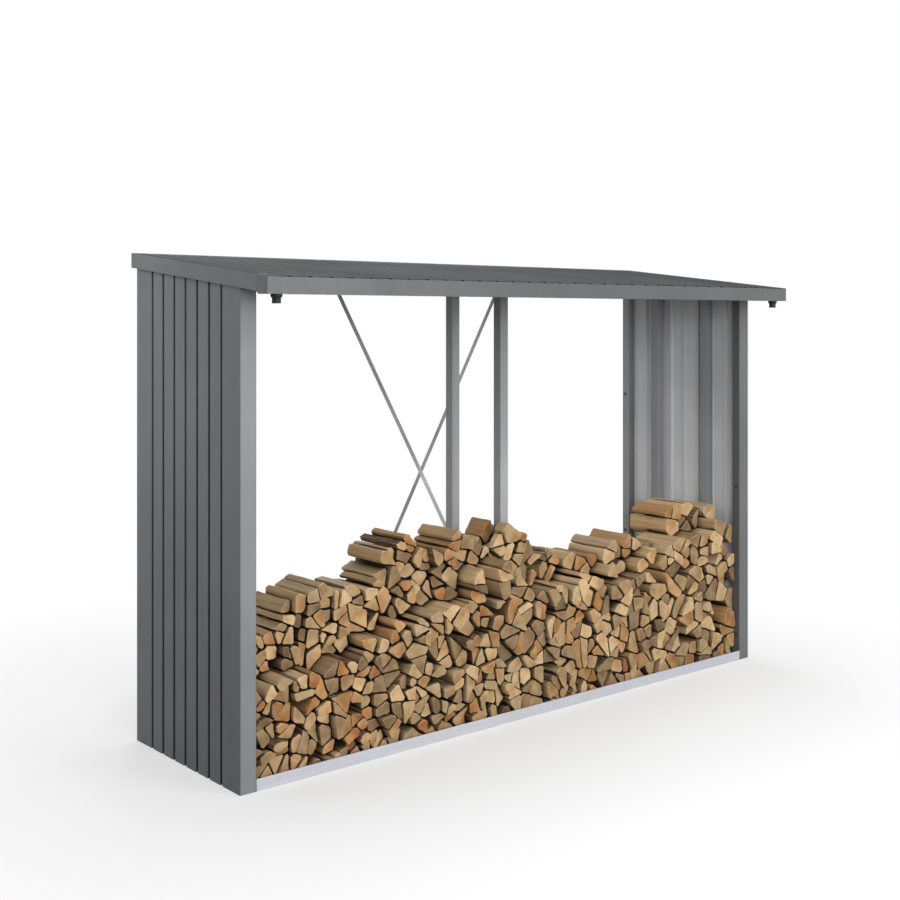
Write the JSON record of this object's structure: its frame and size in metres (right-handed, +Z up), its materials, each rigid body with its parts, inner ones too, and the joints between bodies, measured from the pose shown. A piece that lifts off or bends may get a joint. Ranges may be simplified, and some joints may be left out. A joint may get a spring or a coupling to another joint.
{
  "type": "log store",
  "caption": "Lean-to log store of pressed and folded sheet steel, open at front and back, with crossed braces, a roof gutter with rain outlets and stacked split firewood.",
  "frame": {"origin": "on the ground, under the middle of the roof's outline", "axes": "+X along the store to the right as seen from the open front, -Y towards the front, +Z up"},
  "size_m": [3.01, 1.036, 1.99],
  "materials": {
    "grey_steel": "satin metallic paint",
    "bright_sill": "mill finish",
    "black_plastic": "moulded",
    "firewood": "split, dry"
  },
  "bodies": {
    "root": {"falling_brace": "grey_steel", "front_left_corner_post": "grey_steel", "front_left_logs": "firewood", "front_left_post": "grey_steel", "front_middle_post": "grey_steel", "front_purlin": "grey_steel", "front_right_corner_post": "grey_steel", "front_right_logs": "firewood", "front_right_post": "grey_steel", "front_sill": "bright_sill", "front_top_beam": "grey_steel", "left_base_rail": "grey_steel", "left_gutter": "grey_steel", "left_gutter_end_cap": "grey_steel", "left_gutter_outlet": "black_plastic", "left_roof_sheet": "grey_steel", "left_roof_trim": "grey_steel", "left_top_rail": "grey_steel", "left_wall": "grey_steel", "middle_base_rail": "grey_steel", "rear_base_rail": "grey_steel", "rear_left_corner_post": "grey_steel", "rear_left_logs": "firewood", "rear_left_post": "grey_steel", "rear_middle_post": "grey_steel", "rear_purlin": "grey_steel", "rear_right_corner_post": "grey_steel", "rear_right_logs": "firewood", "rear_right_post": "grey_steel", "rear_roof_trim": "grey_steel", "rear_top_beam": "grey_steel", "right_base_rail": "grey_steel", "right_gutter": "grey_steel", "right_gutter_end_cap": "grey_steel", "right_gutter_outlet": "black_plastic", "right_roof_sheet": "grey_steel", "right_roof_trim": "grey_steel", "right_top_rail": "grey_steel", "right_wall": "grey_steel", "rising_brace": "grey_steel"}
  },
  "joints": []
}
